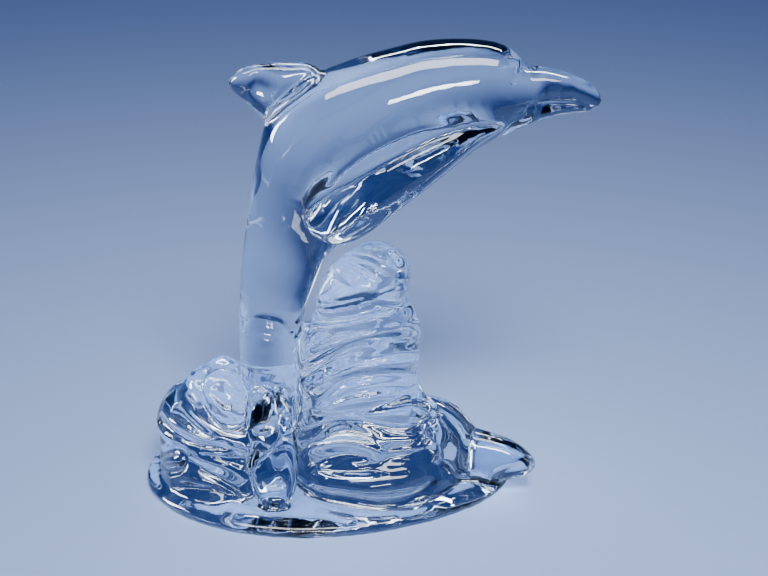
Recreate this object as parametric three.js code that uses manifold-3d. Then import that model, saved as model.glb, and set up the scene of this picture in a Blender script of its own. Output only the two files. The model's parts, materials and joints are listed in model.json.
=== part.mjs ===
// A clear crystal dolphin leaping over two breaking waves, with the head of a second, smaller
// dolphin coming out of the water at its right. Both dolphins, the waves and the oval base are
// pressed as one solid piece.
// Millimetres. +X is the way the dolphin faces, -Y is the side shown to the viewer, +Z is up.
// The origin is on the table, under the middle of the piece.
import * as THREE from "three";
import { mergeVertices } from "three/addons/utils/BufferGeometryUtils.js";
import Module from "manifold-3d";

// Driving dimensions
const HEIGHT = 125; // table to the top of the dolphin's back
const BASE_LENGTH = 102; // base along X
const BASE_DEPTH = 83; // base along Y, before it narrows to the right
const BASE_NARROWING = 0.24; // share of its depth that the base loses by its right end
const BASE_THICKNESS = 4.2; // table to the top of the base at the foot of the waves
const EDGE_REACH = 8; // how far in the rounded edge runs before it is level
const UNDERCUT = 0.8; // how far the edge stands out over the flat underside
const EDGE_LIP = 1.2; // height above the table where the edge is widest

// How finely the skins are cut
const AROUND_BASE = 44;
const AROUND_WAVE = 26;
const EDGE_STEPS = 4;
const DOME_STEPS = 2;
const ROLL_STEP = 2; // height of one band on a roll of water

// Places and sizes on the sculpted figure are given in hundredths of its height.
const UNIT = HEIGHT / 100;
const BASE_MIDDLE_X = -9.7;
const BASE_TOP = BASE_THICKNESS / UNIT;
const FOOT = BASE_TOP / 2; // the waves and the small dolphin start inside the base

const MERGE_DISTANCE = 1e-4;
const CURVE_TENSION = 0.5;

const wasm = await Module();
wasm.setup();

// Solids from rows of points

// A solid from points and triangles, turned right side out where it comes out inside out.
function solid(points, faces) {
  const geometry = new THREE.BufferGeometry().setFromPoints(points);
  geometry.setIndex(faces.flat());
  const merged = mergeVertices(geometry, MERGE_DISTANCE);
  const vertProperties = new Float32Array(merged.attributes.position.array);
  const triVerts = new Uint32Array(merged.index.array);
  const built = new wasm.Manifold(new wasm.Mesh({ numProp: 3, vertProperties, triVerts }));
  if (built.volume() > 0) return built;
  return new wasm.Manifold(
    new wasm.Mesh({ numProp: 3, vertProperties, triVerts: triVerts.reverse() }),
  );
}

// The closed solid over a row of rings, each end closed by a fan to its middle.
function skin(rings) {
  const count = rings[0].length;
  const middle = (ring) =>
    ring.reduce((sum, p) => sum.add(p), new THREE.Vector3()).divideScalar(count);
  const points = [...rings.flat(), middle(rings[0]), middle(rings[rings.length - 1])];
  const startTip = points.length - 2;
  const endTip = points.length - 1;
  const lastRow = (rings.length - 1) * count;
  const faces = [];
  for (let i = 0; i < count; i++) {
    const next = (i + 1) % count;
    for (let row = 0; row < lastRow; row += count) {
      faces.push([row + i, row + next, row + count + next]);
      faces.push([row + i, row + count + next, row + count + i]);
    }
    faces.push([startTip, next, i]);
    faces.push([endTip, lastRow + i, lastRow + next]);
  }
  return solid(points, faces);
}

// A smooth form through stations [high, low, half]: two opposite points on its edge, as
// shares of the height, and how far it swells to each side between them.
function form(stations, { steps, around, squareness = 2 }) {
  const through = (points) =>
    new THREE.CatmullRomCurve3(points, false, "catmullrom", CURVE_TENSION);
  const high = through(stations.map(([point]) => new THREE.Vector3(...point)));
  const low = through(stations.map(([, point]) => new THREE.Vector3(...point)));
  const half = through(stations.map(([, , size]) => new THREE.Vector3(size, 0, 0)));
  const centre = (t) => high.getPoint(t).add(low.getPoint(t)).multiplyScalar(0.5);
  const soften = (v) => Math.sign(v) * Math.abs(v) ** (2 / squareness);
  const count = (stations.length - 1) * steps;
  const nudge = 0.5 / count;
  const rings = Array.from({ length: count + 1 }, (_, row) => {
    const t = row / count;
    const ahead = centre(Math.min(1, t + nudge)).sub(centre(Math.max(0, t - nudge)));
    const reach = high.getPoint(t).sub(low.getPoint(t)).multiplyScalar(0.5);
    const side = ahead.cross(reach).setLength(half.getPoint(t).x);
    return Array.from({ length: around }, (_, i) => {
      const angle = (2 * Math.PI * i) / around;
      return centre(t)
        .addScaledVector(reach, soften(Math.cos(angle)))
        .addScaledVector(side, soften(Math.sin(angle)))
        .multiplyScalar(UNIT);
    });
  });
  return skin(rings);
}

// The same stations on the far side of the piece.
const farSide = (stations) =>
  stations.map(([[hx, hy, hz], [lx, ly, lz], half]) => [[hx, -hy, hz], [lx, -ly, lz], half]);

// Stations that lie in the middle plane are written [x, z].
const inPlane = (stations, y = 0) =>
  stations.map(([[hx, hz], [lx, lz], half]) => [[hx, y, hz], [lx, y, lz], half]);

// The leaping dolphin

const BODY = inPlane([
  [[35.5, 92.5], [36, 84.5], 4.6],
  [[33, 94.4], [34, 82.5], 6],
  [[28.3, 98.3], [28.1, 79.8], 8.6],
  [[22.5, 99.8], [20.8, 75.9], 10.6],
  [[12.1, 99.7], [14.5, 71.6], 12],
  [[2.7, 97.6], [7.1, 66], 13],
  [[-5.6, 95], [0.6, 61.2], 13],
  [[-14.6, 91], [-4.8, 57.5], 12.4],
  [[-21.3, 84.6], [-8, 54.4], 11.4],
  [[-24.4, 74], [-9.6, 52.4], 10],
  [[-26.3, 62.9], [-10.9, 50], 8.8],
  [[-28, 51.4], [-12.1, 47], 8],
  [[-28.7, 42], [-14.2, 40.6], 7.2],
  [[-28.9, 34.5], [-15.6, 33.5], 8],
  [[-28.7, 24], [-15.7, 24], 8],
  [[-26.4, 1], [-17, 1], 8],
]);

const UPPER_JAW = inPlane([
  [[30, 96], [31, 84], 6.6],
  [[33.2, 94.4], [34.4, 85.4], 5.9],
  [[36.2, 94], [37, 86.7], 5.3],
  [[39.3, 93.3], [39.8, 87.3], 4.7],
  [[42.5, 92.3], [42.8, 87.2], 4.1],
  [[45.3, 90.9], [45.5, 86.2], 3.4],
  [[47.2, 89.2], [47.2, 85.6], 2.4],
  [[48.2, 87.7], [48.1, 86.6], 1],
]);

const LOWER_JAW = inPlane([
  [[30, 88], [31, 81.4], 5.6],
  [[34.2, 87.9], [34.4, 82.6], 4.9],
  [[37, 88.2], [37, 83.5], 4.3],
  [[39.6, 88.5], [39.6, 84.2], 3.8],
  [[42.8, 88.4], [42.8, 84.6], 3.3],
  [[45.4, 87.6], [45.4, 84.8], 2.4],
  [[46.6, 86.8], [46.6, 85.4], 1],
]);

const DORSAL_FIN = inPlane([
  [[-7, 90], [-19.5, 79], 4.6],
  [[-12, 94.4], [-22.4, 82.4], 4.2],
  [[-18, 95.1], [-24.3, 84.6], 3.5],
  [[-23, 94.8], [-26.3, 86.7], 3],
  [[-27, 93.9], [-28.5, 88.6], 2.5],
  [[-29.2, 92], [-29.5, 89.9], 1.6],
  [[-29.8, 91.3], [-29.8, 90.7], 0.5],
]);

// The flipper is swept back and pressed along the lower side of the chest. Its lower edge
// stands a little further out than its upper one.
const FLIPPER = [
  [[27, -7.4, 83.6], [26.8, -6.6, 82.4], 0.8],
  [[21.6, -9, 84.5], [21, -9, 78.7], 2.2],
  [[13.2, -11, 81.8], [14.6, -12.2, 74], 3.2],
  [[4.6, -11.8, 77.7], [6.4, -14, 67.8], 3.6],
  [[-3.8, -11.8, 72.9], [-1.8, -14.2, 61.5], 3.6],
  [[-9.4, -11.4, 69.6], [-7, -13.2, 59.4], 3.2],
  [[-12.4, -11, 65.9], [-11.4, -12, 60.6], 2.1],
  [[-13.2, -10.8, 63.8], [-13, -11.2, 62.5], 0.6],
];

// One side of the tail, bent down over the base in front of the waves, with a round end.
const FLUKE = [
  [[-25, 3, 31], [-19.4, 3, 31], 2.6],
  [[-26.2, -7.6, 21.6], [-18.6, -7.6, 22], 2.9],
  [[-26.4, -13.4, 14.4], [-16.5, -13.4, 14.6], 2.7],
  [[-25.6, -17.8, 9], [-16.3, -17.8, 9.2], 2.5],
  [[-24.4, -20.6, BASE_TOP + 2.6], [-17, -20.6, BASE_TOP + 2.8], 2.2],
  [[-23.4, -22.6, BASE_TOP + 1.2], [-18, -22.6, BASE_TOP + 1.4], 1.7],
  [[-22, -23.8, BASE_TOP + 0.2], [-19.4, -23.8, BASE_TOP + 0.3], 0.9],
];

// The small dolphin at the right looks a little towards the viewer.
const CALF = [
  [[5, -2.6, 20], [4, -2.6, FOOT], 8.4],
  [[11.4, -3.6, 20.6], [10.4, -3.6, FOOT], 8],
  [[16.3, -4.6, 19.8], [16, -4.6, FOOT], 7.4],
  [[20, -5.6, 17], [20.4, -5.6, FOOT], 6.2],
  [[22.4, -6.2, 14.2], [23, -6.2, FOOT], 5],
  [[25.4, -7, 13.5], [26, -7, 1.8], 4.4],
  [[28.9, -7.8, 12.6], [29.6, -7.8, 2.8], 3.9],
  [[32.2, -8.6, 11], [32.9, -8.6, 4], 3.2],
  [[34.8, -9.2, 9], [34.8, -9.2, 5], 2.3],
  [[36, -9.5, 7.6], [35.8, -9.5, 6.3], 0.9],
];

// The waves

// A wave is a stack of rolls of water. Each row below is the groove under one roll, from the
// foot of the wave up: the groove's height at its left end, in the middle of the front and at
// its right end, where those ends are along X, how far it reaches to the front and the back,
// and how far the roll above it swells out. The last row is the rim of the rounded top.
const RIGHT_WAVE = [
  { left: [-15.7, FOOT], middle: FOOT, right: [18.5, FOOT], depth: 20, swell: 3.2 },
  { left: [-15.7, 9.8], middle: 11, right: [17, 7.2], depth: 19, swell: 1.9 },
  { left: [-15.5, 13], middle: 18.2, right: [14.5, 12.2], depth: 17, swell: 1 },
  { left: [-15, 15.2], middle: 20.6, right: [12.4, 15], depth: 16, swell: 1.1 },
  { left: [-14.7, 17], middle: 23, right: [11, 19.6], depth: 15.2, swell: 1.2 },
  { left: [-14.6, 18.8], middle: 26.6, right: [9.4, 22.4], depth: 14, swell: 1 },
  { left: [-14.7, 20.6], middle: 29.6, right: [9.2, 25.4], depth: 13.2, swell: 1.3 },
  { left: [-15, 24.8], middle: 33.2, right: [9.6, 30.2], depth: 12.2, swell: 0.9 },
  { left: [-15.2, 27], middle: 35.6, right: [9.9, 33.2], depth: 11.6, swell: 1.6 },
  { left: [-14.4, 33], middle: 40, right: [8.8, 38.5], depth: 10.6, swell: 1.3 },
  { left: [-11.6, 40], middle: 43.4, right: [6.2, 43.3], depth: 8.8, swell: 2.6 },
  { left: [-5, 52.6], middle: 53.8, right: [5.8, 53.4], depth: 5 },
];

const LEFT_WAVE = [
  { left: [-45.5, FOOT], middle: FOOT, right: [-20, FOOT], depth: 18.5, swell: 2 },
  { left: [-45.4, 8], middle: 6.8, right: [-21, 3.6], depth: 17.4, swell: 1.8 },
  { left: [-45.4, 13], middle: 12.4, right: [-21, 10.2], depth: 14.6, swell: 4 },
  { left: [-39.4, 23.6], middle: 18.6, right: [-22, 15.4], depth: 10.6, swell: 1.9 },
  { left: [-37, 25.8], middle: 26.8, right: [-28, 24.2], depth: 4.8 },
];

const TOP_RISE = 1.6; // how far the rounded top of a wave rises over its rim

// The state of a wave a share of the way from one groove to the next.
function between(lower, upper, share) {
  const mix = (a, b) => a + (b - a) * share;
  return {
    left: [mix(lower.left[0], upper.left[0]), mix(lower.left[1], upper.left[1])],
    middle: mix(lower.middle, upper.middle),
    right: [mix(lower.right[0], upper.right[0]), mix(lower.right[1], upper.right[1])],
    depth: mix(lower.depth, upper.depth),
  };
}

// One ring round a wave, swollen out by swell, shrunk by size and lifted by rise.
function waveRing({ left, middle, right, depth }, { swell = 0, size = 1, rise = 0 }) {
  const centre = (left[0] + right[0]) / 2;
  const reach = (right[0] - left[0]) / 2;
  const level = (left[1] + right[1]) / 2;
  const slant = (right[1] - left[1]) / 2;
  return Array.from({ length: AROUND_WAVE }, (_, i) => {
    const angle = (2 * Math.PI * i) / AROUND_WAVE;
    const along = Math.cos(angle);
    const across = Math.sin(angle);
    const outward = new THREE.Vector2(along / reach, across / depth).setLength(swell);
    const arch = (middle - level) * across * across;
    return new THREE.Vector3(
      centre + along * reach * size + outward.x,
      across * depth * size + outward.y,
      level + (along * slant + arch) * size + rise,
    ).multiplyScalar(UNIT);
  });
}

function wave(grooves) {
  const rings = [];
  for (let i = 0; i < grooves.length - 1; i++) {
    const lower = grooves[i];
    const upper = grooves[i + 1];
    const bands = Math.max(3, Math.round((upper.middle - lower.middle) / ROLL_STEP));
    for (let band = 0; band < bands; band++) {
      const turn = (Math.PI * band) / bands;
      const share = (1 - Math.cos(turn)) / 2;
      rings.push(waveRing(between(lower, upper, share), { swell: lower.swell * Math.sin(turn) }));
    }
  }
  const rim = grooves[grooves.length - 1];
  for (let step = 0; step <= DOME_STEPS; step++) {
    const turn = (Math.PI * step) / (2 * (DOME_STEPS + 1));
    rings.push(waveRing(rim, { size: Math.cos(turn), rise: TOP_RISE * Math.sin(turn) }));
  }
  return skin(rings);
}

// The base

// One ring round the base, drawn in from its widest line.
function baseRing(inset, z) {
  return Array.from({ length: AROUND_BASE }, (_, i) => {
    const angle = (2 * Math.PI * i) / AROUND_BASE;
    const narrowing = 1 - BASE_NARROWING * ((1 + Math.cos(angle)) / 2) ** 2;
    return new THREE.Vector3(
      BASE_MIDDLE_X * UNIT + (BASE_LENGTH / 2 - inset) * Math.cos(angle),
      (BASE_DEPTH / 2 - inset) * Math.sin(angle) * narrowing,
      z,
    );
  });
}

// A slab with a flat underside, a small undercut and a long rounded edge.
function base() {
  const rings = [baseRing(UNDERCUT, 0)];
  for (let step = 0; step <= EDGE_STEPS; step++) {
    const turn = (Math.PI * step) / (2 * EDGE_STEPS);
    const rise = (BASE_THICKNESS - EDGE_LIP) * Math.sin(turn);
    rings.push(baseRing(EDGE_REACH * (1 - Math.cos(turn)), EDGE_LIP + rise));
  }
  return skin(rings);
}

// Everything below the table, as a block to cut away.
function belowTable() {
  const size = 2 * HEIGHT;
  const block = new THREE.BoxGeometry(size, size, size).translate(0, 0, -size / 2);
  block.deleteAttribute("normal");
  block.deleteAttribute("uv");
  const merged = mergeVertices(block);
  const vertProperties = new Float32Array(merged.attributes.position.array);
  const triVerts = new Uint32Array(merged.index.array);
  return new wasm.Manifold(new wasm.Mesh({ numProp: 3, vertProperties, triVerts }));
}

// The whole piece, joined and set down with its middle over the origin

function piece() {
  const joined = [
    form(UPPER_JAW, { steps: 1, around: 16, squareness: 2.2 }),
    form(LOWER_JAW, { steps: 1, around: 14 }),
    form(DORSAL_FIN, { steps: 2, around: 16, squareness: 2.2 }),
    form(FLIPPER, { steps: 2, around: 14 }),
    form(farSide(FLIPPER), { steps: 2, around: 14 }),
    form(FLUKE, { steps: 2, around: 12, squareness: 2.2 }),
    form(farSide(FLUKE), { steps: 2, around: 12, squareness: 2.2 }),
    form(CALF, { steps: 2, around: 18, squareness: 2.2 }),
    wave(RIGHT_WAVE),
    wave(LEFT_WAVE),
    base(),
  ].reduce((whole, next) => whole.add(next), form(BODY, { steps: 2, around: 26 }));
  const { vertProperties, triVerts } = joined.subtract(belowTable()).getMesh();
  const geometry = new THREE.BufferGeometry();
  geometry.setAttribute("position", new THREE.BufferAttribute(vertProperties, 3));
  geometry.setIndex(new THREE.BufferAttribute(triVerts, 1));
  geometry.computeBoundingBox();
  const { min, max } = geometry.boundingBox;
  return geometry.translate(-(min.x + max.x) / 2, -(min.y + max.y) / 2, -min.z);
}

const crystal = new THREE.MeshStandardMaterial({
  name: "crystal",
  color: 0xf2f7ff,
  roughness: 0.03,
  metalness: 0,
  transparent: true,
  opacity: 0.35,
});
const dolphin = new THREE.Mesh(piece(), crystal);
dolphin.name = "crystal_dolphin";
export default new THREE.Group().add(dolphin);
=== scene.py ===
"""A clear crystal dolphin leaping over two breaking waves, on a pale studio floor."""

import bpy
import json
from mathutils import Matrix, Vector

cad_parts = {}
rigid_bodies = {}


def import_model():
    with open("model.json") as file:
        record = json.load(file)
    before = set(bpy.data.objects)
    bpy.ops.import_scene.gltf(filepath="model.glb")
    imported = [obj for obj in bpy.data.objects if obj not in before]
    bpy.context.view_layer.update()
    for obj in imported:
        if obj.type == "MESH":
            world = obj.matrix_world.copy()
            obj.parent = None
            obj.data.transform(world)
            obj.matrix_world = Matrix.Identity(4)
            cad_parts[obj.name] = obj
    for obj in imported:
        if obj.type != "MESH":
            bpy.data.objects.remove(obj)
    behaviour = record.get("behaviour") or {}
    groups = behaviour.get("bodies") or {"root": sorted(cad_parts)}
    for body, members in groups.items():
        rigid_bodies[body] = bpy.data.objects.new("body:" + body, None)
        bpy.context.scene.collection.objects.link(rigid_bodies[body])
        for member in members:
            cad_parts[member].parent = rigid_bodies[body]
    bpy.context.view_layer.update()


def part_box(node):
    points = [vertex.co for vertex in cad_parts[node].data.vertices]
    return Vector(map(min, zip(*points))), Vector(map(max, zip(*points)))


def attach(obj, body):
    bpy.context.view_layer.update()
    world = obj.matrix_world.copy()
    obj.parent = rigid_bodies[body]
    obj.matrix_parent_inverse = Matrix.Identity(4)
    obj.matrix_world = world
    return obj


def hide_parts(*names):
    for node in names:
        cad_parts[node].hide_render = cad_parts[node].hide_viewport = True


bl_info = {
    "name": "Crystal Dolphin Figurine",
    "version": (1, 0, 0),
    "blender": (4, 5, 0),
    "location": "3D View > Sidebar > Crystal Dolphin",
    "description": "Sculpts and casts a clear crystal dolphin over breaking waves",
    "category": "Add Mesh",
}

import json
import math

import bmesh
import bpy
import numpy as np
from mathutils import Matrix, Vector
from mathutils.bvhtree import BVHTree

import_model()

NODE = "crystal_dolphin"
PARTS = "Sculpted Parts"
FIGURE = "crystal_figure"
FLOOR = "floor"

# Places on the sculpted figure are given in hundredths of its height, and so are its sizes.
LOW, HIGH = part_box(NODE)
HEIGHT = HIGH.z - LOW.z
UNIT = HEIGHT / 100
MILLIMETRE = 0.001

# The base has sizes of its own
BASE_LENGTH = 102 * MILLIMETRE
BASE_DEPTH = 83 * MILLIMETRE
BASE_NARROWING = 0.24
BASE_THICKNESS = 4.2 * MILLIMETRE
EDGE_REACH = 8 * MILLIMETRE
UNDERCUT = 0.8 * MILLIMETRE
EDGE_LIP = 1.2 * MILLIMETRE
BASE_MIDDLE_X = -9.7
BASE_TOP = BASE_THICKNESS / UNIT
FOOT = BASE_TOP / 2

# The slab's rows are numbered from 0 at the floor to 1 at the top, and this share is the lowest
LOWEST_ROW = 0.001

# The middle of the piece's box is over the origin, and the figure's own places start here
BEAK_TIP_X = 48.2
MIDDLE_X = (BASE_MIDDLE_X - BASE_LENGTH / UNIT / 2 + BEAK_TIP_X) / 2


def in_plane(stations):
    """Stations in the middle plane are written (x, z); this gives them their y."""
    return [((hx, 0, hz), (lx, 0, lz), half) for (hx, hz), (lx, lz), half in stations]


def far_side(stations):
    """The same form on the other side of the middle plane."""
    return [((hx, -hy, hz), (lx, -ly, lz), half) for (hx, hy, hz), (lx, ly, lz), half in stations]


# Two opposite points on the edge of each section, and how far it swells between them
BODY = in_plane([
    ((35.5, 92.5), (36, 84.5), 4.6),
    ((33, 94.4), (34, 82.5), 6),
    ((28.3, 98.3), (28.1, 79.8), 8.6),
    ((22.5, 99.8), (20.8, 75.9), 10.6),
    ((12.1, 99.7), (14.5, 71.6), 12),
    ((2.7, 97.6), (7.1, 66), 13),
    ((-5.6, 95), (0.6, 61.2), 13),
    ((-14.6, 91), (-4.8, 57.5), 12.4),
    ((-21.3, 84.6), (-8, 54.4), 11.4),
    ((-24.4, 74), (-9.6, 52.4), 10),
    ((-26.3, 62.9), (-10.9, 50), 8.8),
    ((-28, 51.4), (-12.1, 47), 8),
    ((-28.7, 42), (-14.2, 40.6), 7.2),
    ((-28.9, 34.5), (-15.6, 33.5), 8),
    ((-28.7, 24), (-15.7, 24), 8),
    ((-26.4, 1), (-17, 1), 8),
])

UPPER_JAW = in_plane([
    ((30, 96), (31, 84), 6.6),
    ((33.2, 94.4), (34.4, 85.4), 5.9),
    ((36.2, 94), (37, 86.7), 5.3),
    ((39.3, 93.3), (39.8, 87.3), 4.7),
    ((42.5, 92.3), (42.8, 87.2), 4.1),
    ((45.3, 90.9), (45.5, 86.2), 3.4),
    ((47.2, 89.2), (47.2, 85.6), 2.4),
    ((48.2, 87.7), (48.1, 86.6), 1),
])

LOWER_JAW = in_plane([
    ((30, 88), (31, 81.4), 5.6),
    ((34.2, 87.9), (34.4, 82.6), 4.9),
    ((37, 88.2), (37, 83.5), 4.3),
    ((39.6, 88.5), (39.6, 84.2), 3.8),
    ((42.8, 88.4), (42.8, 84.6), 3.3),
    ((45.4, 87.6), (45.4, 84.8), 2.4),
    ((46.6, 86.8), (46.6, 85.4), 1),
])

DORSAL_FIN = in_plane([
    ((-7, 90), (-19.5, 79), 4.6),
    ((-12, 94.4), (-22.4, 82.4), 4.2),
    ((-18, 95.1), (-24.3, 84.6), 3.5),
    ((-23, 94.8), (-26.3, 86.7), 3),
    ((-27, 93.9), (-28.5, 88.6), 2.5),
    ((-29.2, 92), (-29.5, 89.9), 1.6),
    ((-29.8, 91.3), (-29.8, 90.7), 0.5),
])

FLIPPER = [
    ((27, -7.4, 83.6), (26.8, -6.6, 82.4), 0.8),
    ((21.6, -9, 84.5), (21, -9, 78.7), 2.2),
    ((13.2, -11, 81.8), (14.6, -12.2, 74), 3.2),
    ((4.6, -11.8, 77.7), (6.4, -14, 67.8), 3.6),
    ((-3.8, -11.8, 72.9), (-1.8, -14.2, 61.5), 3.6),
    ((-9.4, -11.4, 69.6), (-7, -13.2, 59.4), 3.2),
    ((-12.4, -11, 65.9), (-11.4, -12, 60.6), 2.1),
    ((-13.2, -10.8, 63.8), (-13, -11.2, 62.5), 0.6),
]

FLUKE = [
    ((-25, 3, 31), (-19.4, 3, 31), 2.6),
    ((-26.6, -7.6, 21.6), (-18.2, -7.6, 22), 2.8),
    ((-27.2, -13.4, 14.4), (-15.9, -13.4, 14.6), 2.5),
    ((-26.6, -17.8, 9), (-15.7, -17.8, 9.2), 2.3),
    ((-25.4, -20.6, BASE_TOP + 2.6), (-16.2, -20.6, BASE_TOP + 2.8), 2),
    ((-24, -22.6, BASE_TOP + 1.2), (-17.4, -22.6, BASE_TOP + 1.4), 1.5),
    ((-22.2, -23.8, BASE_TOP + 0.2), (-19.2, -23.8, BASE_TOP + 0.3), 0.8),
]

SMALL_DOLPHIN = [
    ((5, -2.6, 20), (4, -2.6, FOOT), 8.4),
    ((11.4, -3.6, 20.6), (10.4, -3.6, FOOT), 8),
    ((16.3, -4.6, 19.8), (16, -4.6, FOOT), 7.4),
    ((20, -5.6, 17), (20.4, -5.6, FOOT), 6.2),
    ((22.4, -6.2, 14.2), (23, -6.2, FOOT), 5),
    ((25.4, -7, 13.5), (26, -7, 1.8), 4.4),
    ((28.9, -7.8, 12.6), (29.6, -7.8, 2.8), 3.9),
    ((32.2, -8.6, 11), (32.9, -8.6, 4), 3.2),
    ((34.8, -9.2, 9), (34.8, -9.2, 5), 2.3),
    ((36, -9.5, 7.6), (35.8, -9.5, 6.3), 0.9),
]

# The groove under each roll of a wave, from the foot up: its left end (x, z), its height in
# the middle of the front, its right end, its reach to front and back, and the swell above it
RIGHT_WAVE = [
    ((-15.7, FOOT), FOOT, (18.5, FOOT), 20, 3.2),
    ((-15.7, 9.8), 11, (17, 7.2), 19, 1.9),
    ((-15.5, 13), 18.2, (14.5, 12.2), 17, 1),
    ((-15, 15.2), 20.6, (12.4, 15), 16, 1.1),
    ((-14.7, 17), 23, (11, 19.6), 15.2, 1.2),
    ((-14.6, 18.8), 26.6, (9.4, 22.4), 14, 1),
    ((-14.7, 20.6), 29.6, (9.2, 25.4), 13.2, 1.3),
    ((-15, 24.8), 33.2, (9.6, 30.2), 12.2, 0.9),
    ((-15.2, 27), 35.6, (9.9, 33.2), 11.6, 1.6),
    ((-14.4, 33), 40, (8.8, 38.5), 10.6, 1.3),
    ((-11.6, 40), 43.4, (6.2, 43.3), 8.8, 2.6),
    ((-5, 52.6), 53.8, (5.8, 53.4), 5, 0),
]

LEFT_WAVE = [
    ((-45.5, FOOT), FOOT, (-20, FOOT), 18.5, 2),
    ((-45.4, 8), 6.8, (-21, 3.6), 17.4, 1.8),
    ((-45.4, 13), 12.4, (-21, 10.2), 14.6, 4),
    ((-39.4, 23.6), 18.6, (-22, 15.4), 10.6, 1.9),
    ((-37, 25.8), 26.8, (-28, 24.2), 4.8, 0),
]

# What a groove of a wave is called as an attribute of its point. The carved lines cut the
# grooves again, so between two rolls a groove is mostly filled first.
GROOVE_VALUES = ("left_x", "left_z", "middle", "right_x", "right_z", "depth", "fill", "swell")
FILL = 0.92

# Grooves are carved into the cast crystal where a viewer in front of it sees them, who looks
# down a little: how deep, how wide, and points across and up from the place looked at.
VIEW_TILT = math.radians(20)
VIEW_DISTANCE = 417.7
AIM_HEIGHT = 46.58

# Between the rolls of the right wave, from the curl down to the foot
RIGHT_WAVE_GROOVES = [
    (3.4, 1.5, [(-14.8, -8.3), (-9.1, -7.8), (-3.3, -7.0), (2.8, -4.8), (7.0, -2.2)]),
    (2.4, 1.2, [(-14.6, -14.8), (-11.7, -12.8), (-8.5, -11.5), (-3.7, -10.9), (2.2, -10.2)]),
    (4.2, 1.7, [(-15.2, -20.7), (-11.3, -18.3), (-6.7, -16.1),
        (-2.2, -14.4), (2.8, -13.1), (11.1, -12.4)]),
    (1.4, 0.9, [(-13.7, -22.4), (-10.2, -20.4), (-5.9, -18.5), (1.7, -16.8), (10.7, -15.2)]),
    (3.2, 1.3, [(-13.3, -26.8), (-10.9, -24.4), (-7.4, -22.6),
        (-2.4, -21.3), (3.9, -20.7), (10.4, -20.0)]),
    (1.4, 0.9, [(-12.4, -27.8), (-6.7, -25.2), (0.7, -23.7), (10.2, -22.6)]),
    (3.0, 1.3, [(-13.7, -29.8), (-6.7, -29.1), (-1.5, -28.3), (2.8, -27.0), (9.6, -23.9)]),
    (3.6, 1.5, [(-15.9, -32.4), (-12.4, -31.1), (-6.7, -30.5),
        (1.7, -31.1), (9.8, -31.3), (13.7, -28.5)]),
    (1.1, 0.8, [(-14.6, -35.0), (-11.7, -33.5), (-8.5, -32.6), (-4.8, -32.6)]),
    (1.7, 0.9, [(-16.1, -37.6), (-13.5, -34.8), (-10.2, -33.1),
        (-5.9, -32.6), (-1.1, -33.5), (2.4, -36.5)]),
    (3.0, 1.2, [(-13.7, -39.6), (-10.2, -38.5), (-5.9, -38.1), (-2.2, -38.5), (1.1, -39.4)]),
    (2.5, 1.3, [(-14.4, -40.9), (-7.0, -41.1), (0.0, -40.5),
        (4.4, -38.9), (8.7, -37.9), (13.1, -36.5)]),
    (1.5, 0.9, [(2.0, -37.0), (5.7, -36.1), (9.1, -35.2), (13.1, -33.3)]),
    (2.1, 1.0, [(-14.1, -46.1), (-10.2, -47.0), (-5.9, -47.6),
        (1.3, -48.7), (7.8, -47.9), (11.7, -45.9), (13.9, -42.9)]),
    (1.7, 0.8, [(9.1, -26.5), (10.7, -25.0), (12.6, -26.3),
        (12.2, -28.7), (10.4, -29.6), (9.1, -28.1)]),
]

# The fan of fine lines on the curl, and the line behind its thick lip
CURL_GROOVES = [
    (0.9, 0.6, [(-6.3, 5.0), (-1.5, 3.0), (2.8, 0.0)]),
    (0.9, 0.6, [(-5.7, 6.1), (0.0, 4.4), (4.6, 1.3)]),
    (0.9, 0.6, [(-4.6, 7.0), (0.9, 5.9), (5.7, 3.5)]),
    (0.6, 0.5, [(-7.2, 3.9), (-3.3, 1.7), (0.0, -1.1)]),
    (0.6, 0.5, [(-8.3, 2.4), (-5.4, 0.4), (-3.0, -2.0)]),
    (2.2, 1.0, [(3.0, 6.7), (5.9, 4.6), (6.7, 1.7), (5.2, -0.9), (1.5, -2.2)]),
    (0.8, 0.7, [(-11.7, -4.1), (-8.0, -4.8), (-3.7, -4.1), (0.0, -3.5)]),
]

# Round the petals of the left wave and over its foot
LEFT_WAVE_GROOVES = [
    (2.8, 1.1, [(-36.1, -19.1), (-38.1, -22.2), (-37.6, -25.2),
        (-35.7, -27.8), (-32.4, -30.7), (-27.4, -32.6)]),
    (2.8, 1.1, [(-46.3, -30.2), (-44.4, -32.4), (-41.8, -34.4),
        (-38.1, -35.7), (-32.6, -36.5), (-26.5, -39.2)]),
    (1.4, 0.9, [(-42.6, -27.0), (-39.6, -30.5), (-36.3, -33.1), (-32.2, -34.8), (-27.4, -36.3)]),
    (2.5, 1.1, [(-40.0, -38.9), (-36.3, -41.3), (-32.6, -43.1), (-29.1, -45.0), (-25.7, -47.2)]),
    (1.4, 0.9, [(-43.5, -44.2), (-38.5, -45.2), (-33.9, -45.7), (-29.6, -47.0), (-25.7, -48.3)]),
    (1.5, 0.8, [(-46.8, -39.2), (-45.2, -37.4), (-42.6, -37.0), (-40.7, -38.7),
        (-42.0, -40.9), (-44.8, -41.3), (-46.8, -39.2)]),
]

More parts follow.
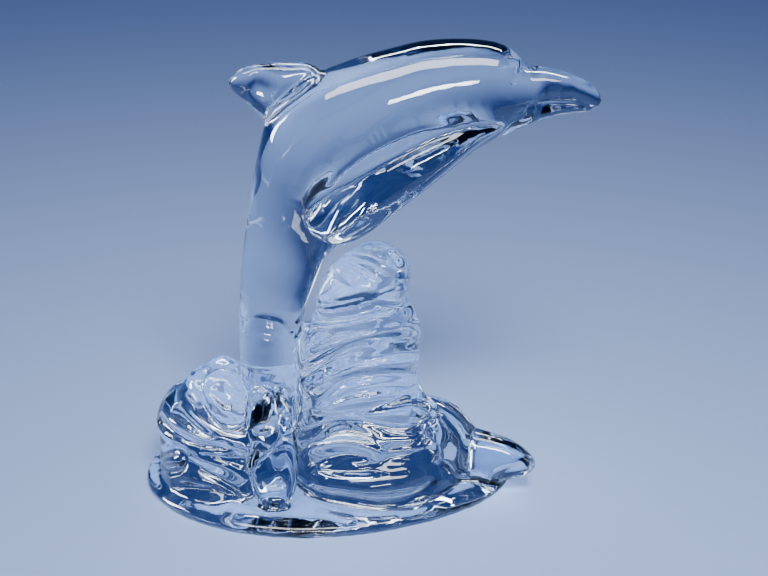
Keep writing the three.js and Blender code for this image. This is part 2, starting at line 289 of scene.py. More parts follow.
# The tail's collar, the root of the fin, the melon and the two mouths
DOLPHIN_GROOVES = [
    (1.9, 1.0, [(-28.3, -8.9), (-23.9, -9.1), (-18.9, -10.4), (-15.9, -13.3)]),
    (1.1, 0.8, [(-28.3, -10.9), (-23.9, -11.3), (-20.0, -12.8), (-16.8, -15.7)]),
    (0.7, 0.7, [(-21.3, -21.5), (-20.7, -27.0), (-19.8, -31.3), (-18.3, -34.6)]),
    (1.0, 0.8, [(-23.9, 36.8), (-19.8, 40.0), (-15.9, 43.1), (-13.1, 45.2)]),
    (1.0, 0.8, [(-22.8, 33.9), (-18.3, 37.9), (-13.5, 41.3), (-7.8, 43.5)]),
    (0.5, 0.8, [(-11.3, 15.0), (-9.1, 19.1), (-5.4, 23.7), (0.9, 28.1), (9.4, 32.0), (17.4, 33.5)]),
    (1.0, 0.7, [(33.9, 47.6), (32.2, 45.0), (30.0, 42.9)]),
    (0.7, 0.5, [(33.1, 36.5), (35.2, 38.1), (39.2, 38.7), (44.2, 38.3), (48.9, 37.6)]),
    (0.9, 0.6, [(32.8, -39.6), (30.0, -41.3), (27.0, -43.3), (24.8, -45.2)]),
]

# Swells along a line, given in the same way with their height first, which is less than
# nothing for a dish: rolls and rims of the waves, the tail's foot, the fin
ROUNDED_SHAPES = [
    (1.0, 1.9, [(-13.1, -43.7), (-7.0, -44.4), (0.7, -45.0), (7.2, -43.7), (11.5, -40.7)]),
    (1.0, 1.2, [(-14.6, -37.4), (-11.7, -35.9), (-6.3, -35.2), (-1.5, -36.1), (1.5, -37.9)]),
    (0.7, 1.3, [(-10.2, -9.6), (-3.3, -8.9), (3.9, -6.7)]),
    (0.7, 1.5, [(-5.9, -13.7), (0.7, -12.4), (7.2, -10.7)]),
    (1.1, 1.1, [(-34.4, -19.4), (-36.3, -22.2), (-36.1, -24.8),
        (-34.4, -26.8), (-31.3, -29.1), (-27.4, -30.7)]),
    (1.1, 1.1, [(-45.5, -27.6), (-43.5, -30.5), (-40.9, -32.4),
        (-37.4, -33.9), (-32.6, -34.6), (-27.0, -37.0)]),
    (1.0, 1.2, [(-40.5, -37.2), (-36.3, -38.9), (-31.3, -40.5), (-26.5, -43.3)]),
    (-0.7, 1.8, [(-34.2, -22.6), (-32.8, -25.2), (-30.7, -27.6)]),
    (1.1, 1.3, [(-25.2, -23.5), (-24.8, -24.4), (-24.4, -25.5)]),
    (1.0, 1.4, [(-18.1, -26.3), (-17.8, -28.7), (-18.1, -31.3)]),
    (-0.6, 1.8, [(-23.7, -32.4), (-22.6, -36.8), (-21.8, -41.1), (-21.5, -44.8)]),
    (-1.8, 2.3, [(-26.8, 42.9), (-24.4, 41.8), (-21.3, 40.0)]),
    (0.6, 1.0, [(-21.8, 37.9), (-17.8, 40.9), (-13.9, 43.7), (-10.0, 45.0)]),
    (1.3, 1.6, [(11.3, -27.0), (12.6, -31.3), (13.5, -35.7), (14.1, -40.0)]),
    (-0.6, 1.6, [(-12.2, -49.6), (-8.0, -50.7), (-3.9, -52.0)]),
    (-0.6, 1.8, [(5.2, -50.5), (8.7, -49.6), (12.0, -48.1)]),
    (-0.5, 1.5, [(-37.9, -47.0), (-35.0, -48.5), (-32.0, -49.6)]),
]

GROOVES = [*RIGHT_WAVE_GROOVES, *CURL_GROOVES, *LEFT_WAVE_GROOVES, *DOLPHIN_GROOVES]

# How closely a line is followed, how far it reaches in widths, and how round its bottom is
LINE_STEP = 0.25
LINE_REACH = 5
LINE_ROUNDING = 0.3

# The sides of the figure. Its back is plainer: the lines are shallower and softer there.
FRONT, BACK = -1, 1
BACK_STRENGTH = 0.18
BACK_SPREAD = 1.9

# No line goes deeper than this, also where several meet
DEEPEST = 4

# A pass of polish smooths by the first share, then swells back by the second
POLISH_SHARES = (0.5, -0.53)
PASSES_AFTER_CARVING = 1


class CrystalSettings(bpy.types.PropertyGroup):
    """How finely the crystal is cast, and how it looks."""

    grain: bpy.props.FloatProperty(
        name="Grain", description="Size of the grid that the parts are fused on",
        default=0.7 * MILLIMETRE, min=0.3 * MILLIMETRE, unit="LENGTH", precision=5,
    )
    polish: bpy.props.IntProperty(
        name="Polish", description="Passes of polish after the parts are fused", default=12, min=0,
    )
    waviness: bpy.props.FloatProperty(
        name="Waviness", description="How far the pressed surface swells and sinks",
        default=0.04 * MILLIMETRE, unit="LENGTH", precision=5,
    )
    top_rise: bpy.props.FloatProperty(
        name="Top Rise", description="How far the rounded top of a wave rises over its rim",
        default=1.6 * UNIT, unit="LENGTH", precision=5,
    )
    # The crystal itself is clear. This blue base colour is painted: it stands in for the blue of the
    # surroundings seen through the crystal and for darker shade inside it.
    painted_surroundings_blue: bpy.props.FloatVectorProperty(
        name="Tint", description="Colour of the crystal", subtype="COLOR", size=3,
        default=(0.76, 0.86, 1.0), min=0, max=1,
    )
    roughness: bpy.props.FloatProperty(
        name="Roughness", description="Roughness of the polished surface", subtype="FACTOR",
        default=0.012, min=0, max=1,
    )
    ior: bpy.props.FloatProperty(
        name="IOR", description="How strongly the crystal bends light", default=1.52, min=1,
    )


DAYLIGHT = (0.95, 0.98, 1)

# The lights: azimuth, elevation, distance in metres, width and length in metres, watts, how far
# the light spreads in degrees, colour, what it lights, and whether the crystal shades it
SOFTBOXES = [
    ("overhead_strip", 0, 80, 0.42, (0.5, 0.11), 3.6, 180, DAYLIGHT, FIGURE, True),
    ("front_window", 6, 37, 0.9, (0.5, 0.09), 2.8, 90, DAYLIGHT, FIGURE, True),
    ("left_rim", -104, 20, 0.6, (0.1, 0.3), 2.0, 90, DAYLIGHT, FIGURE, True),
    ("back_strip", 172, 48, 0.8, (0.6, 0.05), 1.8, 90, DAYLIGHT, FIGURE, True),
    ("floor_light", 8, 46, 0.8, (0.26, 0.26), 1.5, 80, DAYLIGHT, FLOOR, True),
    ("light_through", 8, 46, 0.8, (0.26, 0.26), 0.75, 80, DAYLIGHT, FLOOR, False),
]

# The colour of the surroundings at two heights, from the horizon at 0 to overhead at 1
SURROUNDINGS = [(0.02, (0.025, 0.05, 0.15, 1)), (0.45, (0.02, 0.05, 0.18, 1))]

# The floor is a disc with this many sides
FLOOR_SEGMENTS = 96

# How far the figure stands from the middle of the picture, in pixels of a picture of this width
PICTURE_WIDTH = 768
SHIFT_ACROSS, SHIFT_UP = 12, -7


class StageSettings(bpy.types.PropertyGroup):
    """The floor, the lights and the camera."""

    floor_radius: bpy.props.FloatProperty(
        name="Floor Radius", description="How far the floor reaches", default=4, unit="LENGTH",
    )
    floor_colour: bpy.props.FloatVectorProperty(
        name="Floor Colour", description="Colour of the plain floor", subtype="COLOR", size=3,
        default=(0.40, 0.54, 0.88), min=0, max=1,
    )
    floor_roughness: bpy.props.FloatProperty(
        name="Floor Roughness", description="Roughness of the floor", subtype="FACTOR",
        default=0.7, min=0, max=1,
    )
    camera_distance: bpy.props.FloatProperty(
        name="Camera Distance", description="From the camera to the middle of the figure",
        default=VIEW_DISTANCE * UNIT, unit="LENGTH",
    )
    camera_elevation: bpy.props.FloatProperty(
        name="Camera Elevation", description="How far the camera looks down", subtype="ANGLE",
        default=VIEW_TILT,
    )
    lens: bpy.props.FloatProperty(
        name="Lens", description="Focal length of the camera in millimetres", default=90,
    )
    sensor_width: bpy.props.FloatProperty(
        name="Sensor Width", description="Width of the camera's sensor in millimetres", default=36,
    )


# Mesh helpers


def add_object(name, mesh, collection=PARTS):
    home = bpy.data.collections.get(collection)
    if home is None:
        home = bpy.data.collections.new(collection)
        bpy.context.scene.collection.children.link(home)
    made = bpy.data.objects.new(name, mesh)
    home.objects.link(made)
    return made


def catmull_rom(points, t):
    """The smooth curve through the points, with t from 0 to 1 spread evenly over them."""
    points = np.asarray(points, float)
    padded = np.concatenate([2 * points[:1] - points[1:2], points, 2 * points[-1:] - points[-2:-1]])
    place = np.asarray(t) * (len(points) - 1)
    k = np.minimum(place.astype(int), len(points) - 2)
    f = (place - k)[:, None]
    p0, p1, p2, p3 = (padded[k + i] for i in range(4))
    a, b = (p2 - p0) / 2, (p3 - p1) / 2
    return (2 * p1 - 2 * p2 + a + b) * f**3 + (-3 * p1 + 3 * p2 - 2 * a - b) * f**2 + a * f + p1


def skin(name, rings):
    """A closed mesh over an array of rings, shaped (rows, around, 3), in metres."""
    rows, around, _ = rings.shape
    made = bmesh.new()
    grid = [[made.verts.new(p) for p in ring] for ring in rings]
    tips = [made.verts.new(rings[0].mean(axis=0)), made.verts.new(rings[-1].mean(axis=0))]
    for i in range(around):
        j = (i + 1) % around
        for row in range(rows - 1):
            made.faces.new((grid[row][i], grid[row][j], grid[row + 1][j], grid[row + 1][i]))
        made.faces.new((tips[0], grid[0][j], grid[0][i]))
        made.faces.new((tips[1], grid[-1][i], grid[-1][j]))
    bmesh.ops.recalc_face_normals(made, faces=made.faces)
    mesh = bpy.data.meshes.new(name)
    made.to_mesh(mesh)
    made.free()
    return add_object(name, mesh)


def form(name, stations, squareness=2.0, steps=8, around=64):
    """A smooth closed form through the stations. At squareness 2 its sections are ellipses."""
    high, low, half = (np.array(column, float) for column in zip(*stations))
    t = np.linspace(0, 1, (len(stations) - 1) * steps + 1)
    nudge = 0.25 / len(t)
    middle = (high + low) / 2
    reach = catmull_rom((high - low) / 2, t)
    ahead = catmull_rom(middle, np.clip(t + nudge, 0, 1))
    ahead -= catmull_rom(middle, np.clip(t - nudge, 0, 1))
    side = np.cross(ahead, reach)
    side /= np.linalg.norm(side, axis=1, keepdims=True)
    side *= catmull_rom(half[:, None], t)
    angle = np.linspace(0, 2 * np.pi, around, endpoint=False)
    compass = np.stack([np.cos(angle), np.sin(angle)])
    along_reach, along_side = np.sign(compass) * np.abs(compass) ** (2 / squareness)
    rings = (
        catmull_rom(middle, t)[:, None]
        + reach[:, None] * along_reach[None, :, None]
        + side[:, None] * along_side[None, :, None]
    )
    rings[..., 0] -= MIDDLE_X
    return skin(name, rings * UNIT)


def read_points(items, key):
    values = np.empty(len(items) * 3)
    items.foreach_get(key, values)
    return values.reshape(-1, 3)


def write_points(mesh, points):
    mesh.vertices.foreach_set("co", points.ravel())
    mesh.update()


def polish(points, edges, passes):
    """Evens the surface without shrinking it."""
    first, second = edges.T
    degree = np.bincount(edges.ravel(), minlength=len(points))[:, None]

    def around(values):
        sums = [
            np.bincount(first, values[second, axis], len(points))
            + np.bincount(second, values[first, axis], len(points))
            for axis in range(3)
        ]
        return np.stack(sums, axis=1) / degree

    for step in POLISH_SHARES * passes:
        points = points + step * (around(points) - points)
    return points


def line_on_surface(surface, line, side):
    """Points of a carved line on the crystal, and each one's share of the way along the line."""
    back = np.array([0, side * math.cos(VIEW_TILT), math.sin(VIEW_TILT)])
    up = np.array([0, -side * math.sin(VIEW_TILT), math.cos(VIEW_TILT)])
    aim = np.array([-MIDDLE_X, 0, AIM_HEIGHT])
    eye = Vector((aim + back * VIEW_DISTANCE) * UNIT)
    length = np.linalg.norm(np.diff(line, axis=0), axis=1).sum()
    shares = np.linspace(0, 1, int(length / LINE_STEP) + 2)
    spots, kept = [], []
    for share, (across, height) in zip(shares, catmull_rom(line, shares)):
        spot = Vector((aim + [across, 0, 0] + up * height) * UNIT)
        hit = surface.ray_cast(eye, spot - eye)[0]
        if hit:
            spots.append(hit)
            kept.append(share)
    return np.array(spots).reshape(-1, 3), np.array(kept)


def groove_section(gap, width):
    """The shape across a groove, from 1 in its middle down to 0 far from it."""
    rounded = np.hypot(gap, LINE_ROUNDING) - LINE_ROUNDING
    return np.exp(-rounded / width)


def swell_section(gap, width):
    return np.exp(-((gap / width) ** 2))


def carve(points, normals, surface):
    """Cuts the grooves into the surface, and raises or dishes the rounded shapes."""
    cuts = [(-depth, width, line, groove_section) for depth, width, line in GROOVES]
    swells = [(height, width, line, swell_section) for height, width, line in ROUNDED_SHAPES]
    raised = np.zeros(len(points))
    for height, width, line, section in cuts + swells:
        for side, strength, spread in ((FRONT, 1, 1), (BACK, BACK_STRENGTH, BACK_SPREAD)):
            spots, shares = line_on_surface(surface, line, side)
            if not len(spots):
                continue
            reach = width * spread * LINE_REACH * UNIT
            inside = (points > spots.min(axis=0) - reach) & (points < spots.max(axis=0) + reach)
            near = np.flatnonzero(inside.all(axis=1))
            gaps = np.linalg.norm(points[near, None] - spots[None], axis=2)
            ends = np.sqrt(np.clip(np.sin(np.pi * shares), 0, 1))[gaps.argmin(axis=1)]
            gap = gaps.min(axis=1) / UNIT
            raised[near] += height * strength * ends * section(gap, width * spread)
    limited = DEEPEST * np.tanh(raised / DEEPEST)
    return points + normals * (limited * UNIT)[:, None]


def ripple(points):
    """A number from -1 to 1 for each point, which changes slowly over the surface."""
    x, y, z = points.T / UNIT
    lengthwise = np.sin(0.61 * x + 0.9 * np.sin(0.27 * z))
    upward = np.sin(0.53 * z + 1.1 * np.sin(0.31 * x + 0.4 * y))
    sideways = np.sin(0.47 * y + 0.35 * z)
    return (lengthwise + upward + sideways) / 3


# Geometry Nodes helpers


class Tree:
    """A Geometry Nodes tree under construction, with named inputs."""

    def __init__(self, name):
        self.group = bpy.data.node_groups.new(name, "GeometryNodeTree")
        self.group.is_modifier = True
        self.sockets = {}
        self.input("Geometry", "NodeSocketGeometry")
        self.group.interface.new_socket("Geometry", in_out="OUTPUT", socket_type="NodeSocketGeometry")
        self.start = self.group.nodes.new("NodeGroupInput")
        self.end = self.group.nodes.new("NodeGroupOutput")

    def input(self, name, kind, default=None):
        socket = self.group.interface.new_socket(name, in_out="INPUT", socket_type=kind)
        if default is not None:
            socket.default_value = default
        self.sockets[name] = socket.identifier

    def node(self, kind, inputs=(), **settings):
        made = self.group.nodes.new(kind)
        for key, value in settings.items():
            setattr(made, key, value)
        for key, value in dict(inputs).items():
            if isinstance(value, bpy.types.NodeSocket):
                self.group.links.new(value, made.inputs[key])
            else:
                made.inputs[key].default_value = value
        return made

    def value(self, name):
        return self.start.outputs[name]

    def math(self, operation, a, b=0.0, c=0.0):
        return self.node("ShaderNodeMath", {0: a, 1: b, 2: c}, operation=operation).outputs[0]

    def mix(self, share, a, b):
        return self.math("MULTIPLY_ADD", self.math("SUBTRACT", b, a), share, a)

    def finish(self, geometry, material):
        """Every tree ends in Realize Instances and Set Material."""
        real = self.node("GeometryNodeRealizeInstances", {"Geometry": geometry}).outputs[0]
        painted = self.node("GeometryNodeSetMaterial", {"Geometry": real, "Material": material})
        self.group.links.new(painted.outputs[0], self.end.inputs[0])
        return self.group


def bake(obj, group, sockets, values):
    """Runs a tree on obj with the named values, and keeps the result as obj's plain mesh."""
    modifier = obj.modifiers.new(group.name, "NODES")
    modifier.node_group = group
    for name, value in values.items():
        modifier[sockets[name]] = value
    obj.update_tag()
    bpy.context.view_layer.update()
    evaluated = obj.evaluated_get(bpy.context.evaluated_depsgraph_get())
    mesh = bpy.data.meshes.new_from_object(evaluated)
    obj.modifiers.remove(modifier)
    old = obj.data
    obj.data = mesh
    bpy.data.meshes.remove(old)
    return obj


def groove_rows(grooves):
    """The values of each groove in the order of GROOVE_VALUES. The top roll keeps its groove."""
    swells = [swell for *_, swell in grooves]
    rows = []
    for i, ((left_x, left_z), middle, (right_x, right_z), depth, swell) in enumerate(grooves):
        between = 0 < i < len(grooves) - 2
        fill = FILL * min(swells[i - 1], swell) if between else 0
        rows.append((left_x, left_z, middle, right_x, right_z, depth, fill, swell))
    return rows


def rolls_tree():
    """Rolls of water stacked over the grooves that come in as points with attributes."""
    tree = Tree("Rolls of Water")
    tree.input("Rolls", "NodeSocketInt", 1)
    tree.input("Bands in a Roll", "NodeSocketInt", 12)
    tree.input("Points Around", "NodeSocketInt", 96)
    tree.input("Top Rise", "NodeSocketFloat", 0.0)
    tree.input("Unit", "NodeSocketFloat", 1.0)
    tree.input("Material", "NodeSocketMaterial")
    rolls = tree.value("Rolls")
    sections = tree.math("ADD", rolls, 1.0)
    tube = tree.node(
        "GeometryNodeMeshCylinder",
        {
            "Vertices": tree.value("Points Around"),
            "Side Segments": tree.math("MULTIPLY", sections, tree.value("Bands in a Roll")),
            "Radius": 1.0,
            "Depth": 1.0,
        },
        fill_type="TRIANGLE_FAN",
    )
    place = tree.node("GeometryNodeInputPosition").outputs[0]
    split = tree.node("ShaderNodeSeparateXYZ", {0: place}).outputs
    along, across, height = split[0], split[1], split[2]
    row = tree.math("MULTIPLY", tree.math("ADD", height, 0.5), sections)
    stacked = tree.math("MINIMUM", row, rolls)
    index = tree.math("MINIMUM", tree.math("FLOOR", stacked), tree.math("SUBTRACT", rolls, 1.0))
    turn = tree.math("MULTIPLY", tree.math("SUBTRACT", stacked, index), math.pi)
    share = tree.math("MULTIPLY", tree.math("SUBTRACT", 1.0, tree.math("COSINE", turn)), 0.5)
    above = tree.math("ADD", index, 1.0)

    def groove(name, at):
        attribute = tree.node("GeometryNodeInputNamedAttribute", {"Name": name}, data_type="FLOAT")
        return tree.node(
            "GeometryNodeSampleIndex",
            {"Geometry": tree.value("Geometry"), "Value": attribute.outputs[0], "Index": at},
            data_type="FLOAT", domain="POINT",
        ).outputs[0]

    def at_row(name):
        return tree.mix(share, groove(name, index), groove(name, above))

    left_x, left_z, middle, right_x, right_z, depth, fill = (at_row(n) for n in GROOVE_VALUES[:-1])
    swollen = tree.mix(tree.math("SINE", turn), fill, groove("swell", index))
    dome = tree.math("MULTIPLY", tree.math("SUBTRACT", row, stacked), math.pi / 2)
    size = tree.math("COSINE", dome)
    rise = tree.math("MULTIPLY", tree.value("Top Rise"), tree.math("SINE", dome))
    centre = tree.mix(0.5, left_x, right_x)
    reach = tree.math("MULTIPLY", tree.math("SUBTRACT", right_x, left_x), 0.5)
    level = tree.mix(0.5, left_z, right_z)
    slant = tree.math("MULTIPLY", tree.math("SUBTRACT", right_z, left_z), 0.5)
    out_x = tree.math("DIVIDE", along, reach)
    out_y = tree.math("DIVIDE", across, depth)
    outward = tree.node("ShaderNodeCombineXYZ", {0: out_x, 1: out_y, 2: 0.0}).outputs[0]
    unit_outward = tree.node("ShaderNodeVectorMath", {0: outward}, operation="NORMALIZE").outputs[0]
    push = tree.node(
        "ShaderNodeVectorMath", {0: unit_outward, "Scale": swollen}, operation="SCALE"
    ).outputs[0]
    arch = tree.math(
        "MULTIPLY", tree.math("SUBTRACT", middle, level), tree.math("POWER", across, 2.0)
    )
    tilt = tree.math("ADD", tree.math("MULTIPLY", along, slant), arch)
    ring = tree.node(
        "ShaderNodeCombineXYZ",
        {
            0: tree.math("ADD", centre, tree.math("MULTIPLY", tree.math("MULTIPLY", along, reach), size)),
            1: tree.math("MULTIPLY", tree.math("MULTIPLY", across, depth), size),
            2: tree.math("ADD", tree.math("ADD", level, rise), tree.math("MULTIPLY", tilt, size)),
        },
    ).outputs[0]
    moved = tree.node("ShaderNodeVectorMath", {0: ring, 1: push}, operation="ADD").outputs[0]
    scaled = tree.node(
        "ShaderNodeVectorMath", {0: moved, "Scale": tree.value("Unit")}, operation="SCALE"
    ).outputs[0]
    shaped = tree.node(
        "GeometryNodeSetPosition", {"Geometry": tube.outputs["Mesh"], "Position": scaled}
    )
    return tree.finish(shaped.outputs[0], tree.value("Material")), tree.sockets


def base_tree():
    """An egg-shaped slab with a flat underside, a small undercut and a long rounded edge."""
    tree = Tree("Oval Base")
    for name in ("Length", "Depth", "Narrowing", "Thickness", "Edge Reach", "Undercut", "Edge Lip"):
        tree.input(name, "NodeSocketFloat", 1.0)
    tree.input("Middle", "NodeSocketFloat", 0.0)
    tree.input("Points Around", "NodeSocketInt", 160)
    tree.input("Edge Steps", "NodeSocketInt", 12)
    tree.input("Material", "NodeSocketMaterial")
    slab = tree.node(
        "GeometryNodeMeshCylinder",
        {
            "Vertices": tree.value("Points Around"),
            "Side Segments": tree.value("Edge Steps"),
            "Radius": 1.0,
            "Depth": 1.0,
        },
        fill_type="TRIANGLE_FAN",
    )
    place = tree.node("GeometryNodeInputPosition").outputs[0]
    split = tree.node("ShaderNodeSeparateXYZ", {0: place}).outputs
    along, across = split[0], split[1]
    share = tree.math("ADD", split[2], 0.5)
    turn = tree.math("MULTIPLY", share, math.pi / 2)
    lift = tree.math("SUBTRACT", tree.value("Thickness"), tree.value("Edge Lip"))
    edge = tree.math(
        "MULTIPLY", tree.value("Edge Reach"), tree.math("SUBTRACT", 1.0, tree.math("COSINE", turn))
    )
    at_floor = tree.math("LESS_THAN", share, LOWEST_ROW)
    inset = tree.mix(at_floor, edge, tree.value("Undercut"))
    raised = tree.math("ADD", tree.value("Edge Lip"), tree.math("MULTIPLY", lift, tree.math("SINE", turn)))
    z = tree.mix(at_floor, raised, 0.0)
    narrow = tree.math("POWER", tree.math("MULTIPLY", tree.math("ADD", along, 1.0), 0.5), 2.0)
    keep = tree.math("SUBTRACT", 1.0, tree.math("MULTIPLY", narrow, tree.value("Narrowing")))
    half_length = tree.math("SUBTRACT", tree.math("MULTIPLY", tree.value("Length"), 0.5), inset)
    half_depth = tree.math("SUBTRACT", tree.math("MULTIPLY", tree.value("Depth"), 0.5), inset)
    x = tree.math("MULTIPLY_ADD", along, half_length, tree.value("Middle"))
    y = tree.math("MULTIPLY", tree.math("MULTIPLY", across, half_depth), keep)
    ring = tree.node("ShaderNodeCombineXYZ", {0: x, 1: y, 2: z}).outputs[0]
    shaped = tree.node(
        "GeometryNodeSetPosition", {"Geometry": slab.outputs["Mesh"], "Position": ring}
    )
    return tree.finish(shaped.outputs[0], tree.value("Material")), tree.sockets


def crystal_material():
    look = bpy.context.scene.crystal_settings
    material = bpy.data.materials.get("Clear Crystal")
    if material:
        return material
    material = bpy.data.materials.new("Clear Crystal")
    material.use_nodes = True
    shader = material.node_tree.nodes["Principled BSDF"]
    # Painted blue of the surroundings and painted shade inside the clear crystal, set as its base colour
    shader.inputs["Base Color"].default_value = (*look.painted_surroundings_blue, 1)
    shader.inputs["Roughness"].default_value = look.roughness
    shader.inputs["IOR"].default_value = look.ior
    shader.inputs["Transmission Weight"].default_value = 1
    return material


# Operators


class AddLeapingDolphin(bpy.types.Operator):
    """Sculpt the leaping dolphin: body, jaws, fin, flippers and flukes"""

    bl_idname = "figurine.add_leaping_dolphin"
    bl_label = "Leaping Dolphin"

    def execute(self, context):
        form("body", BODY)
        form("upper_jaw", UPPER_JAW, squareness=2.2)
        form("lower_jaw", LOWER_JAW)
        form("dorsal_fin", DORSAL_FIN, squareness=2.2)
        form("near_flipper", FLIPPER)
        form("far_flipper", far_side(FLIPPER))
        form("near_fluke", FLUKE, squareness=2.2)
        form("far_fluke", far_side(FLUKE), squareness=2.2)
        return {"FINISHED"}


class AddSmallDolphin(bpy.types.Operator):
    """Sculpt the head of the small dolphin at the right"""

    bl_idname = "figurine.add_small_dolphin"
    bl_label = "Small Dolphin"

    def execute(self, context):
        form("small_dolphin", SMALL_DOLPHIN, squareness=2.2)
        return {"FINISHED"}


class AddWaves(bpy.types.Operator):
    """Stack the rolls of water of the two breaking waves"""

    bl_idname = "figurine.add_waves"
    bl_label = "Waves"

    def execute(self, context):
        look = context.scene.crystal_settings
        group, sockets = rolls_tree()
        for name, grooves in (("right_wave", RIGHT_WAVE), ("left_wave", LEFT_WAVE)):
            guide = bpy.data.meshes.new(name)
            guide.from_pydata([(0, 0, row) for row in range(len(grooves))], [], [])
            rows = groove_rows(grooves)
            for i, key in enumerate(GROOVE_VALUES):
                attribute = guide.attributes.new(key, "FLOAT", "POINT")
                attribute.data.foreach_set("value", [row[i] for row in rows])
            wave = add_object(name, guide)
            values = {
                "Rolls": len(grooves) - 1,
                "Top Rise": look.top_rise / UNIT,
                "Unit": UNIT,
                "Material": crystal_material(),
            }
            bake(wave, group, sockets, values)
            wave.data.transform(Matrix.Translation((-MIDDLE_X * UNIT, 0, 0)))
        return {"FINISHED"}


class AddBase(bpy.types.Operator):
    """Shape the oval base with its rounded edge"""

    bl_idname = "figurine.add_base"
    bl_label = "Base"

    def execute(self, context):
        group, sockets = base_tree()
        values = {
            "Length": BASE_LENGTH,
            "Depth": BASE_DEPTH,
            "Narrowing": BASE_NARROWING,
            "Thickness": BASE_THICKNESS,
            "Edge Reach": EDGE_REACH,
            "Undercut": UNDERCUT,
            "Edge Lip": EDGE_LIP,
            "Middle": (BASE_MIDDLE_X - MIDDLE_X) * UNIT,
            "Material": crystal_material(),
        }
        bake(add_object("base", bpy.data.meshes.new("base")), group, sockets, values)
        return {"FINISHED"}


class CastCrystal(bpy.types.Operator):
    """Fuse the sculpted parts into one piece of polished crystal"""

    bl_idname = "figurine.cast_crystal"
    bl_label = "Cast Crystal"

    def execute(self, context):
        look = context.scene.crystal_settings
        whole = bmesh.new()
        parts = list(bpy.data.collections[PARTS].objects)
        if not parts:
            raise RuntimeError("sculpt the parts before the crystal is cast")
        for part in parts:
            whole.from_mesh(part.data)
        mesh = bpy.data.meshes.new(FIGURE)
        whole.to_mesh(mesh)
        whole.free()
        for part in parts:
            bpy.data.objects.remove(part)
        figure = bpy.data.objects.new(FIGURE, mesh)
        context.scene.collection.objects.link(figure)
        remesh = figure.modifiers.new("Fuse", "REMESH")
        remesh.mode = "VOXEL"
        remesh.voxel_size = look.grain
        remesh.adaptivity = 0
        evaluated = figure.evaluated_get(context.evaluated_depsgraph_get())
        cast = bpy.data.meshes.new_from_object(evaluated)
        figure.modifiers.clear()
        figure.data = cast
        bpy.data.meshes.remove(mesh)
        cast.name = FIGURE
        cast.polygons.foreach_set("use_smooth", [True] * len(cast.polygons))
        cast.materials.clear()
        cast.materials.append(crystal_material())
        cast.update()
        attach(figure, "root")
        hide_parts(NODE)
        return {"FINISHED"}


class CarveCrystal(bpy.types.Operator):
    """Polish the cast crystal and carve its lines"""

    bl_idname = "figurine.carve_crystal"
    bl_label = "Carve Crystal"

    def execute(self, context):
        look = context.scene.crystal_settings
        figure = bpy.data.objects.get(FIGURE)
        if figure is None:
            raise RuntimeError("cast the crystal before it is carved")
        mesh = figure.data
        edges = np.empty(len(mesh.edges) * 2, int)
        mesh.edges.foreach_get("vertices", edges)
        edges = edges.reshape(-1, 2)
        points = polish(read_points(mesh.vertices, "co"), edges, look.polish)
        write_points(mesh, points)
        normals = read_points(mesh.vertex_normals, "vector")
        surface = BVHTree.FromPolygons(points.tolist(), [face.vertices[:] for face in mesh.polygons])
        points = carve(points, normals, surface)
        points = points + normals * (look.waviness * ripple(points))[:, None]
        points = polish(points, edges, PASSES_AFTER_CARVING)
        low, high = np.array(LOW), np.array(HIGH)
        points = low + (points - points.min(axis=0)) * (high - low) / np.ptp(points, axis=0)
        write_points(mesh, points)
        return {"FINISHED"}


def add_floor(stage):
    """A plain round floor for the figurine to stand on."""
    disc = bmesh.new()
    bmesh.ops.create_circle(disc, cap_ends=True, segments=FLOOR_SEGMENTS, radius=stage.floor_radius)
    mesh = bpy.data.meshes.new(FLOOR)
    disc.to_mesh(mesh)
    disc.free()
    floor = bpy.data.objects.new(FLOOR, mesh)
    bpy.context.scene.collection.objects.link(floor)
    paint = bpy.data.materials.new("Pale Floor")
    paint.use_nodes = True
    shader = paint.node_tree.nodes["Principled BSDF"]
    shader.inputs["Base Color"].default_value = (*stage.floor_colour, 1)
    shader.inputs["Roughness"].default_value = stage.floor_roughness
    mesh.materials.append(paint)


def add_softbox(name, azimuth, elevation, distance, size, power, spread, colour, lit, shaded):
    """A soft light that faces the middle of the figure. Azimuth 0 is in front, 90 at the right.

    Light that the crystal doesn't shade goes through it to the floor, as most light does.
    """
    data = bpy.data.lights.new(name, "AREA")
    data.shape = "RECTANGLE"
    data.size, data.size_y = size
    data.energy = power
    data.spread = math.radians(spread)
    data.color = colour
    made = bpy.data.objects.new(name, data)
    turn, lift = math.radians(azimuth), math.radians(elevation)
    back = Vector((math.sin(turn) * math.cos(lift), -math.cos(turn) * math.cos(lift), math.sin(lift)))
    made.location = Vector((0, 0, HEIGHT / 2)) + back * distance
    made.rotation_euler = (-back).to_track_quat("-Z", "Y").to_euler()
    bpy.context.scene.collection.objects.link(made)
    receivers = bpy.data.collections.new(f"lit_by_{name}")
    receivers.objects.link(bpy.data.objects[lit])
    made.light_linking.receiver_collection = receivers
    if not shaded:
        made.light_linking.blocker_collection = receivers


def add_surroundings():
    """Plain dark surroundings, for the crystal to mirror and to show through itself."""
    world = bpy.data.worlds.new("Studio")
    bpy.context.scene.world = world
    world.use_nodes = True
    nodes = world.node_tree.nodes
    links = world.node_tree.links
    coordinates = nodes.new("ShaderNodeTexCoord")
    split = nodes.new("ShaderNodeSeparateXYZ")
    ramp = nodes.new("ShaderNodeValToRGB")
    for stop, (height, colour) in zip(ramp.color_ramp.elements, SURROUNDINGS):
        stop.position = height
        stop.color = colour
    links.new(coordinates.outputs["Generated"], split.inputs[0])
    links.new(split.outputs["Z"], ramp.inputs["Fac"])
    links.new(ramp.outputs["Color"], nodes["Background"].inputs["Color"])


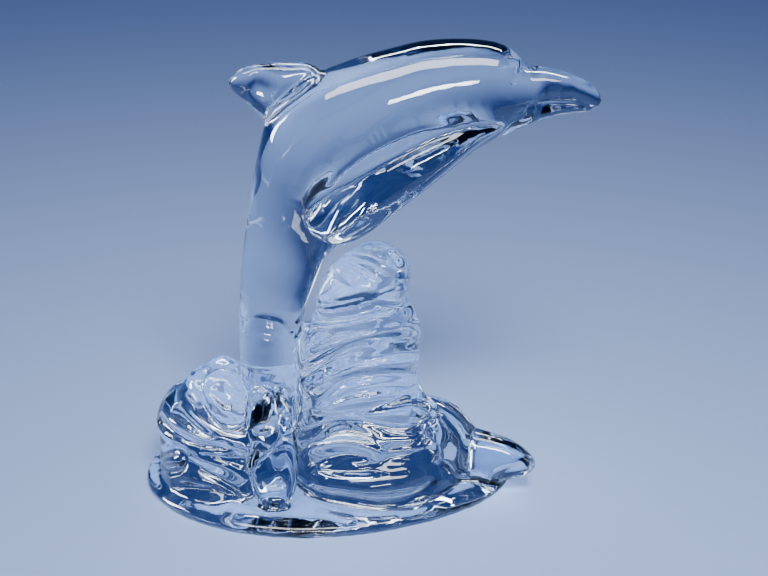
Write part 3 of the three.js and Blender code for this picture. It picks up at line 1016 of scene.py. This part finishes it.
def add_camera(stage):
    """The camera in front, at the photo's angle."""
    data = bpy.data.cameras.new("camera")
    data.lens = stage.lens
    data.sensor_width = stage.sensor_width
    data.shift_x = SHIFT_ACROSS / PICTURE_WIDTH
    data.shift_y = SHIFT_UP / PICTURE_WIDTH
    camera = bpy.data.objects.new("camera", data)
    target = Vector((-MIDDLE_X * UNIT, 0, AIM_HEIGHT * UNIT))
    tilt = stage.camera_elevation
    back = Vector((0, -math.cos(tilt), math.sin(tilt)))
    camera.location = target + back * stage.camera_distance
    camera.rotation_euler = (-back).to_track_quat("-Z", "Y").to_euler()
    bpy.context.scene.collection.objects.link(camera)
    bpy.context.scene.camera = camera


class AddStage(bpy.types.Operator):
    """Set the plain floor, the soft lights and the camera"""

    bl_idname = "figurine.add_stage"
    bl_label = "Stage"

    def execute(self, context):
        stage = context.scene.stage_settings
        add_floor(stage)
        for softbox in SOFTBOXES:
            add_softbox(*softbox)
        add_surroundings()
        add_camera(stage)
        return {"FINISHED"}


OPERATORS = (
    AddLeapingDolphin, AddSmallDolphin, AddWaves, AddBase, CastCrystal, CarveCrystal, AddStage,
)


class CrystalDolphinPanel(bpy.types.Panel):
    """The steps of the figurine, in order"""

    bl_idname = "VIEW3D_PT_crystal_dolphin"
    bl_label = "Crystal Dolphin"
    bl_space_type = "VIEW_3D"
    bl_region_type = "UI"
    bl_category = "Crystal Dolphin"

    def draw(self, context):
        for operator in OPERATORS:
            self.layout.operator(operator.bl_idname)
        for settings in (context.scene.crystal_settings, context.scene.stage_settings):
            for key in settings.__annotations__:
                self.layout.prop(settings, key)


CLASSES = (CrystalSettings, StageSettings, *OPERATORS, CrystalDolphinPanel)


def register():
    for cls in CLASSES:
        bpy.utils.register_class(cls)
    bpy.types.Scene.crystal_settings = bpy.props.PointerProperty(type=CrystalSettings)
    bpy.types.Scene.stage_settings = bpy.props.PointerProperty(type=StageSettings)


def unregister():
    del bpy.types.Scene.stage_settings
    del bpy.types.Scene.crystal_settings
    for cls in reversed(CLASSES):
        bpy.utils.unregister_class(cls)


def main():
    register()
    bpy.ops.figurine.add_leaping_dolphin()
    bpy.ops.figurine.add_small_dolphin()
    bpy.ops.figurine.add_waves()
    bpy.ops.figurine.add_base()
    bpy.ops.figurine.cast_crystal()
    bpy.ops.figurine.carve_crystal()
    bpy.ops.figurine.add_stage()


if __name__ == "__main__":
    main()
